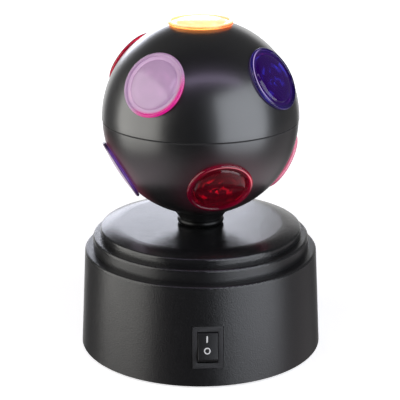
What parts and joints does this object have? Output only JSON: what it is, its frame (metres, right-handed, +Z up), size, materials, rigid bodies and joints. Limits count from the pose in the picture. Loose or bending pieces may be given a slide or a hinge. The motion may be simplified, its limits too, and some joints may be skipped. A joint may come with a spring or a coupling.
{
  "type": "disco ball light",
  "caption": "Rotating disco ball light: gloss black split ball with round coloured lenses, turned by a geared spindle above a stepped round base with a rocker switch.",
  "frame": {"origin": "centre of the base on the surface that its feet stand on", "axes": "+Z up along the ball's spindle, front with the rocker switch towards -Y, +X to the right seen from the front"},
  "size_m": [0.1256, 0.1275, 0.1717],
  "materials": {
    "housing": "fine grained satin black",
    "underside": "matt black",
    "rubber": "soft matt black",
    "steel": "zinc plated",
    "cell": "plain printed sleeve",
    "contact": "nickel plated",
    "switch_frame": "satin black",
    "switch_rocker": "satin black with white marks",
    "terminal": "tinned brass",
    "chassis": "plain sheet",
    "gearbox": "brushed",
    "motor": "plain can",
    "gear": "natural acetal",
    "bush": "natural acetal",
    "post": "plain",
    "nut": "turned",
    "led": "lit emitters",
    "lead": "smooth insulation",
    "ball_shell": "gloss black",
    "spindle": "gloss black",
    "lens_amber": "clear tinted",
    "lens_pink": "clear tinted",
    "lens_blue": "clear tinted",
    "lens_red": "clear tinted",
    "lens_rose": "clear tinted",
    "lens_violet": "clear tinted"
  },
  "bodies": {
    "base": {"base_housing": "housing", "base_plate": "underside", "battery_door": "underside", "feet": "rubber", "base_screws": "steel", "battery_door_screw": "steel", "chassis_screws": "steel", "gearbox_screws": "steel", "battery_cells": "cell", "contact_plates": "contact", "contact_springs": "contact", "switch_body": "switch_frame", "switch_terminals": "terminal", "chassis_plate": "chassis", "gearbox": "gearbox", "motor_can": "motor", "neck_bush": "bush", "lamp_post": "post", "lamp_block": "post", "post_nut": "nut", "leds": "led", "leads": "lead"},
    "ball": {"upper_shell": "ball_shell", "lower_shell": "ball_shell", "spindle": "spindle", "ring_nut": "spindle", "drive_gear": "gear", "gear_clip": "steel", "pole_lens": "lens_amber", "upper_lens_front": "lens_pink", "upper_lens_right": "lens_blue", "upper_lens_back": "lens_amber", "upper_lens_left": "lens_red", "lower_lens_front": "lens_red", "lower_lens_right": "lens_rose", "lower_lens_back": "lens_blue", "lower_lens_left": "lens_violet"},
    "pinion": {"motor_shaft": "steel", "pinion": "gear"},
    "rocker": {"switch_rocker": "switch_rocker"}
  },
  "joints": [
    {"name": "ball_spin", "type": "hinge", "parent": "base", "child": "ball", "pos_m": [0, 0, 0.1211], "axis": [0, 0, 1], "continuous": true},
    {"name": "pinion_spin", "type": "hinge", "parent": "base", "child": "pinion", "pos_m": [-0.0198, -0.0198, 0.0493], "axis": [0, 0, 1], "continuous": true},
    {"name": "rocker_tip", "type": "hinge", "parent": "base", "child": "rocker", "pos_m": [0, -0.05815, 0.02097], "axis": [1, 0, 0], "range_deg": [0, 22]}
  ],
  "couplings": [
    {"joint": "pinion_spin", "follows": "ball_spin", "ratio": -3}
  ]
}
